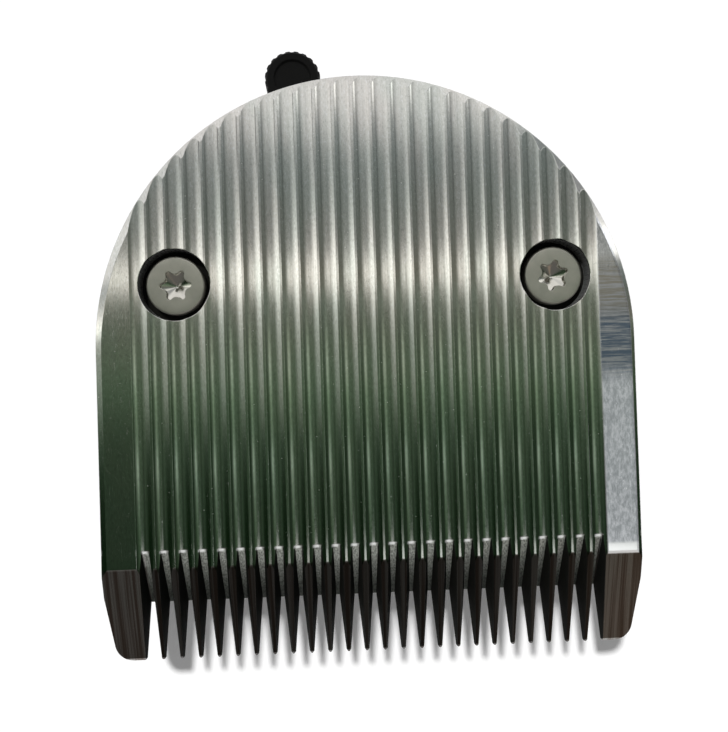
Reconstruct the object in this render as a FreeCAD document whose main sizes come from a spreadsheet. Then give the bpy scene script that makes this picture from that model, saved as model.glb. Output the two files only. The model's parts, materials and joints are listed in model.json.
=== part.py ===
import FreeCAD, Part
import Sketcher
import math
import os
import re

# Detachable comb-and-cutter blade head of an animal clipper. Millimetres. +Z is the skin side,
# -Y the way the teeth point, and z = 0 the seat plane on the clipper. The origin is the centre
# of the drive bore, which is also the centre of the rear arc and the axis of the lever.

doc = FreeCAD.newDocument("clipper_blade_head")

SIZES = {
    # comb blade, heights above its cutting face, reaches forward of the origin
    "plate_width": 45.7,
    "comb_thickness": 3.0,
    "comb_face_height": 9.6,
    "tooth_pitch": 1.6,
    "tooth_count": 24,
    "tip_reach": 26.66,
    "tip_thickness": 0.45,
    "bevel_start": 18.3,
    "end_tooth_slant_start": 20.8,
    "end_tooth_inset": 0.65,
    "end_tooth_corner_radius": 1.6,
    "flute_depth": 0.26,
    "ridge_crest_width": 0.2,
    "slot_start": 16.9,
    "slot_through": 21.8,
    "slot_root_gap": 0.3,
    "slot_side_taper": 0.095,
    "slot_side_flare": 0.225,
    "tip_chamfer_length": 0.14,
    "tip_chamfer_slope": 0.6,
    "rim_bevel_side": 0.5,
    "rim_bevel_rear": 0.8,
    "rim_bevel_slope": 0.4,
    "comb_relief_depth": 0.25,
    "comb_relief_front": 16.4,
    "comb_relief_rear": 10.4,
    # comb screws, in threaded inserts
    "screw_spread": 16.2,
    "screw_back": 5.4,
    "screw_radius": 1.25,
    "screw_length": 5.6,
    "screw_head_radius": 2.5,
    "screw_head_height": 1.3,
    "screw_head_edge": 0.12,
    "screw_socket_radius": 1.33,
    "screw_socket_bulge_radius": 0.6,
    "screw_socket_bulge_reach": 1.56,
    "screw_socket_depth": 0.9,
    "screw_turn_left": 31.5,
    "screw_turn_right": 48.5,
    "counterbore_radius": 3.05,
    "counterbore_floor": 0.8,
    "screw_clearance": 0.15,
    "insert_radius": 2.1,
    "insert_length": 4.2,
    "insert_sink": 0.1,
    "insert_thread_gap": 0.02,
    "insert_fit_gap": 0.02,
    # cutter blade
    "blade_film": 0.02,
    "cutter_thickness": 1.4,
    "cutter_rear": 6.8,
    "cutter_tip_setback": 2.86,
    "cutter_tooth_length": 3.2,
    "cutter_root_gap": 0.45,
    "cutter_tip_gap": 1.0,
    "cutter_edge_margin": 0.3,
    "cutter_bevel_start": 17.6,
    "cutter_tip_thickness": 0.5,
    "cutter_relief_front": 16.2,
    "cutter_relief_rear": 11.0,
    "cutter_relief_depth": 0.2,
    # driver and its rivets
    "driver_half_width": 8.0,
    "driver_front": 13.3,
    "driver_rear": 7.0,
    "driver_foot_bottom": 5.4,
    "yoke_half_width": 4.4,
    "yoke_back": 6.0,
    "yoke_bottom": 4.5,
    "yoke_top": 8.0,
    "drive_slot_half_width": 2.3,
    "drive_slot_front": 4.5,
    "drive_slot_back": 4.2,
    "rivet_spread": 6.2,
    "rivet_reach": 8.9,
    "rivet_radius": 0.8,
    "rivet_head_radius": 1.1,
    "rivet_head_sink": 0.13,
    "rivet_seat_depth": 0.5,
    "rivet_gap": 0.02,
    # guide rail
    "rail_front": 12.0,
    "rail_width": 1.6,
    "rail_bottom": 4.9,
    "rail_height": 2.4,
    "rail_end_wall": 1.0,
    "rail_gap": 0.05,
    # carriage
    "deck_gap": 0.05,
    "carriage_thickness": 1.6,
    "carriage_half_width": 12.4,
    "carriage_arm_width": 2.6,
    "carriage_front": 13.3,
    "carriage_block_overlap": 0.9,
    "carriage_block_half": 16.4,
    "carriage_block_rear": 9.0,
    "carriage_block_top": 7.9,
    "cross_front": 10.5,
    "cross_width": 3.0,
    "follower_tab_half": 3.2,
    "follower_tab_margin": 1.2,
    "carriage_travel": 2.2,
    # cam follower pin
    "follower_back": 15.2,
    "follower_radius": 1.0,
    "follower_head_radius": 1.6,
    "follower_head_height": 0.6,
    "follower_gap": 0.05,
    "follower_lift": 0.15,
    # pressure spring and its screws
    "spring_thickness": 0.35,
    "spring_side_gap": 0.3,
    "spring_arm_width": 1.3,
    "spring_strip_front": 11.0,
    "spring_strip_width": 2.2,
    "spring_tip_reach": 14.4,
    "spring_tip_gap": 0.05,
    "spring_rail_gap": 0.12,
    "spring_tip_rise_start": 12.6,
    "spring_rail_rear": 9.6,
    "spring_screw_spread": 6.0,
    "spring_screw_radius": 0.8,
    "spring_screw_head_radius": 1.5,
    "spring_screw_head_height": 0.9,
    "spring_screw_slot_width": 0.4,
    "spring_screw_slot_depth": 0.4,
    "spring_screw_gap": 0.02,
    "spring_screw_grip": 1.35,
    # base frame
    "base_outer_radius": 21.8,
    "base_wall": 1.2,
    "base_front": 17.4,
    "apron_wall": 1.5,
    "apron_height": 7.0,
    "deck_bottom": 2.9,
    "deck_thickness": 1.2,
    "drive_bore_radius": 7.0,
    "collar_radius": 8.9,
    "boss_radius": 3.3,
    "boss_web_width": 3.0,
    "insert_bore_depth": 5.0,
    "rib_outer": 9.7,
    "rib_width": 0.7,
    "rib_height": 1.1,
    "rib_front": 6.5,
    "rib_back": 8.0,
    "latch_recess_length": 8.0,
    "latch_recess_height": 2.4,
    "latch_recess_depth": 0.7,
    "latch_recess_bottom": 3.6,
    "tongue_window_spread": 12.0,
    "tongue_window_width": 5.0,
    "tongue_window_height": 1.7,
    "tongue_window_bottom": 0.9,
    # adjuster lever
    "lever_bottom": 1.0,
    "lever_thickness": 1.7,
    "lever_bore_gap": 0.05,
    "lever_hub_radius": 12.2,
    "lever_fan_radius": 18.2,
    "lever_fan_start": 79.0,
    "lever_fan_end": 130.0,
    "lever_arm_width": 4.4,
    "lever_angle": 103.4,
    "lever_stop_gap": 0.1,
    # lever knob and its pin
    "knob_reach": 25.5,
    "knob_radius": 2.55,
    "knob_height": 3.6,
    "knob_scallops": 20,
    "knob_scallop_radius": 0.26,
    "knob_scallop_depth": 0.13,
    "knob_dish_radius": 1.75,
    "knob_dish_depth": 0.18,
    "knob_edge": 0.25,
    "knob_pin_radius": 0.8,
    "knob_pin_depth": 2.4,
    "knob_pin_head_radius": 1.5,
    "knob_pin_head_height": 0.5,
    "knob_pin_gap": 0.02,
    # retaining ring under the lever
    "ring_groove_depth": 0.55,
    "ring_groove_bottom": 0.35,
    "ring_thickness": 0.45,
    "ring_gap": 0.05,
    "ring_outer_radius": 10.4,
    "ring_opening": 44.0,
    # detent
    "detent_reach": 10.25,
    "detent_angle": 140.0,
    "detent_ball_radius": 0.8,
    "detent_gap": 0.06,
    "detent_dip": 0.5,
    "detent_dimple_extra": 0.2,
    "detent_clicks": 5,
    "detent_boss_radius": 1.5,
    "detent_boss_top": 7.6,
    "detent_bore_top": 7.1,
    "detent_wire_radius": 0.12,
    "detent_spring_turns": 5,
}

sheet = doc.addObject("Spreadsheet::Sheet", "Sizes")
for row, (alias, size) in enumerate(SIZES.items(), start=1):
    sheet.set("A%d" % row, alias)
    sheet.set("B%d" % row, str(size))
    sheet.setAlias("B%d" % row, alias)
doc.recompute()


def value(expression):
    """The number that an expression in the sheet's names stands for."""
    return float(sheet.evalExpression(expression))


def bound(expression):
    """The same expression as another object has to write it."""
    return re.sub(r"[a-z_]+", lambda m: "Sizes." + m.group() if m.group() in SIZES else m.group(), expression)


def bind(item, **expressions):
    """Tie properties of an object to expressions; a double underscore stands for a dot."""
    for name, expression in expressions.items():
        item.setExpression(name.replace("__", "."), bound(expression))
    return item


# --- worked-out sizes, as expressions in the sheet's names ---

CUTTER_TOP = "(comb_face_height - blade_film)"
CUTTER_BOTTOM = "(comb_face_height - blade_film - cutter_thickness)"
CUTTER_TIP = "(tip_reach - cutter_tip_setback)"
HEAD_SEAT = "(comb_face_height + counterbore_floor)"
DECK_TOP = "(deck_bottom + deck_thickness)"
CARRIAGE_BOTTOM = "(deck_bottom + deck_thickness + deck_gap)"
CARRIAGE_TOP = "(deck_bottom + deck_thickness + deck_gap + carriage_thickness)"
RAIL_TOP = "(rail_bottom + rail_height)"
WINDOW_HALF = "(carriage_half_width - carriage_arm_width)"
BLOCK_INNER = "(carriage_half_width - carriage_block_overlap)"
RAIL_HALF = "(carriage_block_half - rail_end_wall)"
SPRING_OUTER = "(carriage_half_width - carriage_block_overlap - spring_side_gap)"
SPRING_INNER = "(carriage_half_width - carriage_block_overlap - spring_side_gap - spring_arm_width)"
LEVER_TOP = "(lever_bottom + lever_thickness)"
BASE_INNER = "(base_outer_radius - base_wall)"
INSERT_TOP = "(comb_face_height - insert_sink)"
SLOTS = "(tooth_count + 1)"
HALF_TEETH = "(tooth_count / 2 * tooth_pitch)"
SWING = "(2 * (lever_angle - 90))"
BALL_CENTRE = "(lever_bottom + lever_thickness - detent_dip + detent_gap + detent_ball_radius)"
KNOB_X = "knob_reach * cos(lever_angle * 1 deg)"
KNOB_Y = "knob_reach * sin(lever_angle * 1 deg)"
DETENT_X = "detent_reach * cos(detent_angle * 1 deg)"
DETENT_Y = "detent_reach * sin(detent_angle * 1 deg)"
SPRING_SCREW_Y = "(spring_strip_front + spring_strip_width / 2)"
RUNOUT = "1"
SIDES = (("left", "-"), ("right", ""))


# --- helpers: Part primitives and booleans ---

def mirrored(half):
    """From minus to plus a half width."""
    return ("-(%s)" % half, half)


def span(sign, inner, outer):
    """Between two distances from the middle, on the side that the sign names."""
    return ("-(%s)" % outer, "-(%s)" % inner) if sign else (inner, outer)


def block(name, x, y, z):
    """A box between pairs of expressions."""
    box = doc.addObject("Part::Box", name)
    (x_low, x_high), (y_low, y_high), (z_low, z_high) = x, y, z
    bind(box, Length="(%s) - (%s)" % (x_high, x_low), Width="(%s) - (%s)" % (y_high, y_low),
         Height="(%s) - (%s)" % (z_high, z_low), Placement__Base__x=x_low, Placement__Base__y=y_low,
         Placement__Base__z=z_low)
    return box


def cylinder(name, radius, z, x="0", y="0", start="0", sweep="360"):
    """An upright cylinder, or the sector of one from the start angle."""
    rod = doc.addObject("Part::Cylinder", name)
    rod.Placement.Rotation = FreeCAD.Rotation(FreeCAD.Vector(0, 0, 1), 0.001)
    bind(rod, Radius=radius, Height="(%s) - (%s)" % (z[1], z[0]), Angle=sweep, Placement__Base__x=x,
         Placement__Base__y=y, Placement__Base__z=z[0], Placement__Rotation__Angle="(%s) * 1 deg" % start)
    return rod


def join(name, *pieces):
    fuse = doc.addObject("Part::MultiFuse", name)
    fuse.Shapes = list(pieces)
    fuse.Refine = True
    return fuse


def cut(name, base, *tools):
    result = doc.addObject("Part::Cut", name)
    result.Base = base
    result.Tool = tools[0] if len(tools) == 1 else join(name + "_tools", *tools)
    result.Refine = True
    return result


# --- helpers: PartDesign bodies and sketches ---

def new_body(name, height):
    body = doc.addObject("PartDesign::Body", name)
    return bind(body, Placement__Base__z=height)


def origin_feature(body, role):
    return next(item for item in body.Origin.OriginFeatures if item.Role == role)


def new_sketch(body, name, plane, offset="0"):
    sketch = body.newObject("Sketcher::SketchObject", name)
    sketch.AttachmentSupport = (origin_feature(body, plane), [""])
    sketch.MapMode = "FlatFace"
    return bind(sketch, AttachmentOffset__Base__z=offset)


def pin(sketch, geometry, point, x=None, y=None):
    """Hold a point of the sketch at expressions for its two coordinates."""
    for kind, expression in (("DistanceX", x), ("DistanceY", y)):
        if expression is not None:
            rule = Sketcher.Constraint(kind, -1, 1, geometry, point, value(expression))
            sketch.setExpression("Constraints[%d]" % sketch.addConstraint(rule), bound(expression))


def polygon(body, name, plane, corners, offset="0"):
    """A closed polygon through corners given as pairs of expressions."""
    sketch = new_sketch(body, name, plane, offset)
    points = [FreeCAD.Vector(value(x), value(y), 0) for x, y in corners]
    for start, end in zip(points, points[1:] + points[:1]):
        sketch.addGeometry(Part.LineSegment(start, end), False)
    for index, (x, y) in enumerate(corners):
        before = (index or len(corners)) - 1
        sketch.addConstraint(Sketcher.Constraint("Coincident", before, 2, index, 1))
        pin(sketch, index, 1, x, y)
    return sketch


def circles(body, name, radius, centres, offset="0"):
    """Circles of one radius, on a plane parallel to XY."""
    sketch = new_sketch(body, name, "XY_Plane", offset)
    for index, (x, y) in enumerate(centres):
        centre = FreeCAD.Vector(value(x), value(y), 0)
        sketch.addGeometry(Part.Circle(centre, FreeCAD.Vector(0, 0, 1), value(radius)), False)
        rule = sketch.addConstraint(Sketcher.Constraint("Radius", index, value(radius)))
        sketch.setExpression("Constraints[%d]" % rule, bound(radius))
        pin(sketch, index, 3, x, y)
    return sketch


def pad(body, name, sketch, length, both_ways=False):
    feature = body.newObject("PartDesign::Pad", name)
    feature.Profile = sketch
    feature.SideType = "Symmetric" if both_ways else "One side"
    return bind(feature, Length=length)


def pocket(body, name, sketch, length=None, both_ways=False, upward=True):
    """A pocket to a length, or through everything; upward is along the sketch's normal."""
    feature = body.newObject("PartDesign::Pocket", name)
    feature.Profile = sketch
    feature.SideType = "Symmetric" if both_ways else "One side"
    feature.Reversed = upward and not both_ways
    if length is None:
        feature.Type = "ThroughAll"
        return feature
    return bind(feature, Length=length)


def row_along_x(body, name, feature, step, count):
    """Copies of a feature, one step apart along +X."""
    pattern = body.newObject("PartDesign::LinearPattern", name)
    pattern.Originals = [feature]
    pattern.Direction = (origin_feature(body, "X_Axis"), [""])
    bind(pattern, Length="(%s) * (%s - 1)" % (step, count), Occurrences=count)
    body.Tip = pattern
    return pattern


def ring_about_z(body, name, feature, count):
    """Copies of a feature evenly spaced about the body's Z axis."""
    pattern = body.newObject("PartDesign::PolarPattern", name)
    pattern.Originals = [feature]
    pattern.Axis = (origin_feature(body, "Z_Axis"), [""])
    pattern.Angle = 360
    bind(pattern, Occurrences=count)
    body.Tip = pattern
    return pattern


def revolve(body, name, corners, angle="360", offset="0", groove=False):
    """A profile in the XZ plane turned about the Z axis through the sketch's origin."""
    feature = body.newObject("PartDesign::Groove" if groove else "PartDesign::Revolution", name)
    sketch = polygon(body, name + "_profile", "XZ_Plane", corners, offset)
    feature.Profile = sketch
    feature.ReferenceAxis = (sketch, ["V_Axis"])
    return bind(feature, Angle=angle)


def upright_edges(feature, x, y):
    """Names of the upright edges of a feature that stand at a place in plan."""
    names = []
    for index, edge in enumerate(feature.Shape.Edges, start=1):
        ends = [(vertex.Point.x - x, vertex.Point.y - y) for vertex in edge.Vertexes]
        if len(ends) == 2 and all(math.hypot(*end) < 0.01 for end in ends):
            names.append("Edge%d" % index)
    return names


# --- blades ---

def comb_blade():
    body = new_body("comb_blade", "comb_face_height")
    half = "plate_width / 2"

    # plan: half-round rear, sides that slant in along the end teeth
    outline = new_sketch(body, "comb_outline", "XY_Plane")
    tip_half = "plate_width / 2 - end_tooth_inset"
    corners = [("-" + half, "0"), ("-" + half, "-end_tooth_slant_start"),
               ("-(" + tip_half + ")", "-tip_reach"), (tip_half, "-tip_reach"),
               (half, "-end_tooth_slant_start"), (half, "0")]
    points = [FreeCAD.Vector(value(x), value(y), 0) for x, y in corners]
    for start, end in zip(points, points[1:]):
        outline.addGeometry(Part.LineSegment(start, end), False)
    circle = Part.Circle(FreeCAD.Vector(0, 0, 0), FreeCAD.Vector(0, 0, 1), value(half))
    arc = outline.addGeometry(Part.ArcOfCircle(circle, 0, math.pi), False)
    for index in range(1, len(corners) - 1):
        outline.addConstraint(Sketcher.Constraint("Coincident", index - 1, 2, index, 1))
        pin(outline, index, 1, *corners[index])
    outline.addConstraint(Sketcher.Constraint("Coincident", arc, 1, arc - 1, 2))
    outline.addConstraint(Sketcher.Constraint("Coincident", arc, 2, 0, 1))
    outline.addConstraint(Sketcher.Constraint("Coincident", arc, 3, -1, 1))
    pin(outline, arc, 1, *corners[-1])
    pin(outline, arc, 2, y="0")
    plate = pad(body, "comb_plate", outline, "comb_thickness")
    doc.recompute()
    tip_x, tip_y = value(tip_half), value("-tip_reach")
    rounding = body.newObject("PartDesign::Fillet", "end_tooth_corners")
    rounding.Base = (plate, upright_edges(plate, tip_x, tip_y) + upright_edges(plate, -tip_x, tip_y))
    bind(rounding, Radius="end_tooth_corner_radius")

    # bevel from the ridge crests down to the tips, with a blunt nose
    nose = "tip_thickness / 2"
    above = "comb_thickness + " + RUNOUT
    bevel = polygon(body, "tip_bevel_profile", "YZ_Plane", [
        ("-bevel_start", "comb_thickness"), ("-(tip_reach - %s)" % nose, "tip_thickness"),
        ("-tip_reach", nose), ("-tip_reach - " + RUNOUT, nose),
        ("-tip_reach - " + RUNOUT, above), ("-bevel_start", above)])
    pocket(body, "tip_bevel", bevel, both_ways=True)

    # rim bevel: narrow along the straight sides, wider round the rear
    rise = "(rim_bevel_side * rim_bevel_slope)"
    inner = "(plate_width / 2 - rim_bevel_side)"
    outer = "(plate_width / 2 + 2 * rim_bevel_side)"
    low = "comb_thickness - 3 * " + rise
    rim = [(inner, "comb_thickness"), (outer, low), (outer, above), (inner, above)]
    setback = "rim_bevel_rear - rim_bevel_side"
    revolve(body, "rim_bevel_arc", rim, "180", setback, groove=True)
    for side, sign in SIDES:
        corners = [(sign + x, z) for x, z in rim]
        edge = polygon(body, "rim_bevel_%s_profile" % side, "XZ_Plane", corners, setback)
        pocket(body, "rim_bevel_" + side, edge)

    # flutes: shallow round hollows that leave narrow flat crests between them
    flute = new_sketch(body, "flute_profile", "XZ_Plane", "-plate_width / 2 - " + RUNOUT)
    first = "-%s" % HALF_TEETH
    lip = "(tooth_pitch - ridge_crest_width) / 2"
    crest = "comb_thickness"
    floor = value("comb_thickness - flute_depth")
    ends = [(first + " - " + lip, crest), (first + " - " + lip, above),
            (first + " + " + lip, above), (first + " + " + lip, crest)]
    points = [FreeCAD.Vector(value(x), value(y), 0) for x, y in ends]
    for start, end in zip(points, points[1:]):
        flute.addGeometry(Part.LineSegment(start, end), False)
    hollow = Part.Arc(points[0], FreeCAD.Vector(value(first), floor, 0), points[-1])
    arc = flute.addGeometry(hollow, False)
    for index in range(1, len(ends) - 1):
        flute.addConstraint(Sketcher.Constraint("Coincident", index - 1, 2, index, 1))
        pin(flute, index, 1, *ends[index])
    pin(flute, 0, 1, *ends[0])
    pin(flute, arc - 1, 2, *ends[-1])
    flute.addConstraint(Sketcher.Constraint("Coincident", arc, 1, 0, 1))
    flute.addConstraint(Sketcher.Constraint("Coincident", arc, 2, arc - 1, 2))
    radius = "((%s)^2 + flute_depth^2) / (2 * flute_depth)" % lip
    rule = flute.addConstraint(Sketcher.Constraint("Radius", arc, value(radius)))
    flute.setExpression("Constraints[%d]" % rule, bound(radius))
    row_along_x(body, "flutes", pocket(body, "flute", flute), "tooth_pitch", SLOTS)

    # slots: V-shaped, opening towards the tips, with a root ramp from the flute floor
    def slot_section(name, reach, bottom, widening="0"):
        top = "comb_thickness + " + RUNOUT
        side = "(slot_root_gap / 2 + slot_side_taper * (%s - slot_through) + slot_side_flare * (%s) + %s)"
        low, high = side % (reach, bottom, widening), side % (reach, top, widening)
        corners = [(first + " - " + low, bottom), (first + " + " + low, bottom),
                   (first + " + " + high, top), (first + " - " + high, top)]
        return polygon(body, name, "XZ_Plane", corners, reach)

    through = "-slot_root_gap / 10"
    sections = [slot_section("slot_rear", "slot_start", "comb_thickness - flute_depth"),
                slot_section("slot_root", "slot_through", through),
                slot_section("slot_tips", "(tip_reach - tip_chamfer_length)", through),
                slot_section("slot_front", "(tip_reach + tip_chamfer_length)", through,
                             "2 * tip_chamfer_length * tip_chamfer_slope")]
    slot = body.newObject("PartDesign::SubtractiveLoft", "slot")
    slot.Profile = sections[0]
    slot.Sections = sections[1:]
    slot.Ruled = True
    row_along_x(body, "slots", slot, "tooth_pitch", SLOTS)

    # screw seats and the hollow between the two cutting lands
    centres = [("-screw_spread", "screw_back"), ("screw_spread", "screw_back")]
    seats = circles(body, "counterbore_circles", "counterbore_radius", centres, "counterbore_floor")
    pocket(body, "counterbores", seats)
    holes = circles(body, "screw_hole_circles", "screw_radius + screw_clearance", centres)
    pocket(body, "screw_holes", holes)
    reach = "(plate_width / 2 + %s)" % RUNOUT
    relief = polygon(body, "comb_relief_outline", "XY_Plane", [
        ("-" + reach, "-comb_relief_front"), (reach, "-comb_relief_front"),
        (reach, "-comb_relief_rear"), ("-" + reach, "-comb_relief_rear")])
    pocket(body, "comb_relief", relief, "comb_relief_depth")
    return body


def cutter_blade():
    body = new_body("cutter_blade", CUTTER_BOTTOM)
    half = "(%s - cutter_edge_margin)" % HALF_TEETH
    outline = polygon(body, "cutter_outline", "XY_Plane", [
        ("-" + half, "-cutter_rear"), ("-" + half, "-" + CUTTER_TIP), (half, "-" + CUTTER_TIP),
        (half, "-cutter_rear")])
    pad(body, "cutter_plate", outline, "cutter_thickness")
    below = "-" + RUNOUT
    bevel = polygon(body, "cutter_bevel_profile", "YZ_Plane", [
        ("-cutter_bevel_start", "0"), ("-%s" % CUTTER_TIP, "cutter_thickness - cutter_tip_thickness"),
        ("-%s - %s" % (CUTTER_TIP, RUNOUT), "cutter_thickness - cutter_tip_thickness"),
        ("-%s - %s" % (CUTTER_TIP, RUNOUT), below), ("-cutter_bevel_start", below)])
    pocket(body, "cutter_bevel", bevel, both_ways=True)

    first = "-%s" % HALF_TEETH
    root, front = "-(%s - cutter_tooth_length)" % CUTTER_TIP, "-(%s + %s)" % (CUTTER_TIP, RUNOUT)
    flare = "(cutter_tip_gap - cutter_root_gap) / 2 / cutter_tooth_length"
    root_half = "cutter_root_gap / 2"
    front_half = "(%s + %s * (cutter_tooth_length + %s))" % (root_half, flare, RUNOUT)
    gap = polygon(body, "cutter_slot_outline", "XY_Plane", [
        (first + " - " + root_half, root), (first + " - " + front_half, front),
        (first + " + " + front_half, front), (first + " + " + root_half, root)])
    row_along_x(body, "cutter_slots", pocket(body, "cutter_slot", gap), "tooth_pitch", SLOTS)

    reach = "(%s + %s)" % (half, RUNOUT)
    relief = polygon(body, "cutter_relief_outline", "XY_Plane", [
        ("-" + reach, "-cutter_relief_front"), (reach, "-cutter_relief_front"),
        (reach, "-cutter_relief_rear"), ("-" + reach, "-cutter_relief_rear")],
        "cutter_thickness - cutter_relief_depth")
    pocket(body, "cutter_relief", relief)
    centres = [("-rivet_spread", "-rivet_reach"), ("rivet_spread", "-rivet_reach")]
    holes = circles(body, "rivet_hole_circles", "rivet_radius + rivet_gap", centres)
    pocket(body, "rivet_holes", holes)
    seats = circles(body, "rivet_seat_circles", "rivet_head_radius + rivet_gap", centres,
                    "cutter_thickness - rivet_seat_depth")
    pocket(body, "rivet_seats", seats)
    return body


# --- fasteners and pins ---

def comb_screw(side, sign):
    """A flat-headed screw with a six-lobe socket, turned as it was left."""
    name = "comb_screw_" + side
    blank = new_body(name + "_blank", HEAD_SEAT)
    x, y = sign + "screw_spread", "screw_back"
    bind(blank, Placement__Base__x=x, Placement__Base__y=y)
    revolve(blank, name + "_turning", [
        ("0", "-screw_length"), ("screw_radius - screw_head_edge", "-screw_length"),
        ("screw_radius", "-screw_length + screw_head_edge"), ("screw_radius", "0"),
        ("screw_head_radius", "0"), ("screw_head_radius", "screw_head_height - screw_head_edge"),
        ("screw_head_radius - screw_head_edge", "screw_head_height"), ("0", "screw_head_height")])
    crown = HEAD_SEAT + " + screw_head_height"
    depth = (crown + " - screw_socket_depth", crown + " + " + RUNOUT)
    bulges = []
    for lobe in range(6):
        angle = "(screw_turn_%s + 60 * %d + 30) * 1 deg" % (side, lobe)
        bulges.append(cylinder("%s_bulge_%d" % (name, lobe), "screw_socket_bulge_radius", depth,
                               "%s + screw_socket_bulge_reach * cos(%s)" % (x, angle),
                               "%s + screw_socket_bulge_reach * sin(%s)" % (y, angle)))
    round_hole = cylinder(name + "_socket_round", "screw_socket_radius", depth, x, y)
    return cut(name, blank, cut(name + "_socket", round_hole, *bulges))


def thread_insert(side, sign):
    x, y = sign + "screw_spread", "screw_back"
    z = (INSERT_TOP + " - insert_length", INSERT_TOP)
    name = "thread_insert_" + side
    sleeve = cylinder(name + "_sleeve", "insert_radius", z, x, y)
    thread = cylinder(name + "_thread", "screw_radius + insert_thread_gap",
                      (z[0] + " - " + RUNOUT, z[1] + " + " + RUNOUT), x, y)
    return cut(name, sleeve, thread)


def driver_rivet(side, sign):
    x, y = sign + "rivet_spread", "-rivet_reach"
    name = "driver_rivet_" + side
    bottom = "driver_foot_bottom + rivet_gap"
    top = CUTTER_TOP + " - rivet_head_sink"
    shank = cylinder(name + "_shank", "rivet_radius", (bottom, top), x, y)
    lower = cylinder(name + "_lower_head", "rivet_head_radius",
                     (bottom, "driver_foot_bottom + rivet_seat_depth"), x, y)
    upper = cylinder(name + "_upper_head", "rivet_head_radius",
                     (CUTTER_TOP + " - rivet_seat_depth", top), x, y)
    return join(name, shank, lower, upper)


def spring_screw(side, sign):
    x, y = sign + "spring_screw_spread", SPRING_SCREW_Y
    name = "spring_screw_" + side
    seat = CARRIAGE_TOP + " + spring_thickness"
    crown = seat + " + spring_screw_head_height"
    shank = cylinder(name + "_shank", "spring_screw_radius",
                     (CARRIAGE_TOP + " - spring_screw_grip", seat), x, y)
    head = cylinder(name + "_head", "spring_screw_head_radius", (seat, crown), x, y)
    half = "spring_screw_slot_width / 2"
    slot = block(name + "_slot", (x + " - spring_screw_head_radius", x + " + spring_screw_head_radius"),
                 (y + " - " + half, y + " + " + half),
                 (crown + " - spring_screw_slot_depth", crown + " + " + RUNOUT))
    return cut(name, join(name + "_blank", shank, head), slot)


def cam_follower_pin():
    shank = cylinder("follower_shank", "follower_radius",
                     ("lever_bottom + follower_lift", CARRIAGE_TOP), y="follower_back")
    head = cylinder("follower_head", "follower_head_radius",
                    (CARRIAGE_TOP, CARRIAGE_TOP + " + follower_head_height"), y="follower_back")
    return join("cam_follower_pin", shank, head)


def knob_pin():
    head = cylinder("knob_pin_head", "knob_pin_head_radius",
                    ("lever_bottom - knob_pin_head_height", "lever_bottom"), KNOB_X, KNOB_Y)
    shank = cylinder("knob_pin_shank", "knob_pin_radius",
                     ("lever_bottom - knob_pin_head_height", LEVER_TOP + " + knob_pin_depth"), KNOB_X, KNOB_Y)
    return join("knob_pin", head, shank)


# --- the moving parts under the comb ---

def cutter_driver():
    """Foot under the cutter, astride the guide rail, and a yoke round the clipper's drive pin."""
    foot = block("driver_foot", ("-driver_half_width", "driver_half_width"),
                 ("-driver_front", "-driver_rear"), ("driver_foot_bottom", CUTTER_BOTTOM))
    yoke = block("driver_yoke", ("-yoke_half_width", "yoke_half_width"),
                 ("-driver_rear", "yoke_back"), ("yoke_bottom", "yoke_top"))
    below = "driver_foot_bottom - " + RUNOUT
    side = "driver_half_width + " + RUNOUT
    rail_groove = block("driver_rail_groove", ("-(%s)" % side, side),
                        ("-rail_front - rail_gap", "-rail_front + rail_width + rail_gap"),
                        (below, RAIL_TOP + " + rail_gap"))
    length = ("-drive_slot_front + drive_slot_half_width", "drive_slot_back - drive_slot_half_width")
    height = ("yoke_bottom - " + RUNOUT, "yoke_top + " + RUNOUT)
    slot = block("drive_slot", ("-drive_slot_half_width", "drive_slot_half_width"), length, height)
    ends = [cylinder("drive_slot_end_%d" % index, "drive_slot_half_width", height, y=y)
            for index, y in enumerate(length)]
    rivets = []
    for side, sign in SIDES:
        x, y = sign + "rivet_spread", "-rivet_reach"
        rivets.append(cylinder("driver_rivet_hole_" + side, "rivet_radius + rivet_gap",
                               (below, CUTTER_BOTTOM + " + " + RUNOUT), x, y))
        rivets.append(cylinder("driver_rivet_seat_" + side, "rivet_head_radius + rivet_gap",
                               (below, "driver_foot_bottom + rivet_seat_depth"), x, y))
    return cut("cutter_driver", join("driver_blank", foot, yoke), rail_groove, slot, *ends, *rivets)


def guide_rail():
    return block("guide_rail", mirrored(RAIL_HALF),
                 ("-rail_front", "-rail_front + rail_width"), ("rail_bottom", RAIL_TOP))


def carriage():
    """A sliding frame that carries the guide rail in front and the cam follower behind."""
    plate = (CARRIAGE_BOTTOM, CARRIAGE_TOP)
    back = "(cross_front + cross_width)"
    tab_back = "(follower_back + follower_radius + follower_tab_margin)"
    pieces = [
        block("carriage_cross", mirrored("carriage_half_width"), ("cross_front", back), plate),
        block("carriage_tab", mirrored("follower_tab_half"), (back, tab_back), plate),
    ]
    tools = [
        block("carriage_rail_slot", mirrored(RAIL_HALF),
              ("-rail_front", "-rail_front + rail_width"), ("rail_bottom", RAIL_TOP)),
        cylinder("follower_hole", "follower_radius + follower_gap / 2",
                 (CARRIAGE_BOTTOM + " - " + RUNOUT, CARRIAGE_TOP + " + " + RUNOUT), y="follower_back"),
    ]
    for side, sign in SIDES:
        arm = span(sign, WINDOW_HALF, "carriage_half_width")
        stand = span(sign, BLOCK_INNER, "carriage_block_half")
        pieces.append(block("carriage_arm_" + side, arm, ("-carriage_front", back), plate))
        pieces.append(block("carriage_block_" + side, stand, ("-carriage_front", "-carriage_block_rear"),
                            (CARRIAGE_BOTTOM, "carriage_block_top")))
        tools.append(cylinder("spring_screw_hole_" + side, "spring_screw_radius + spring_screw_gap",
                              (CARRIAGE_TOP + " - spring_screw_grip", CARRIAGE_TOP + " + " + RUNOUT),
                              sign + "spring_screw_spread", SPRING_SCREW_Y))
    return cut("carriage", join("carriage_blank", *pieces), *tools)


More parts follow.
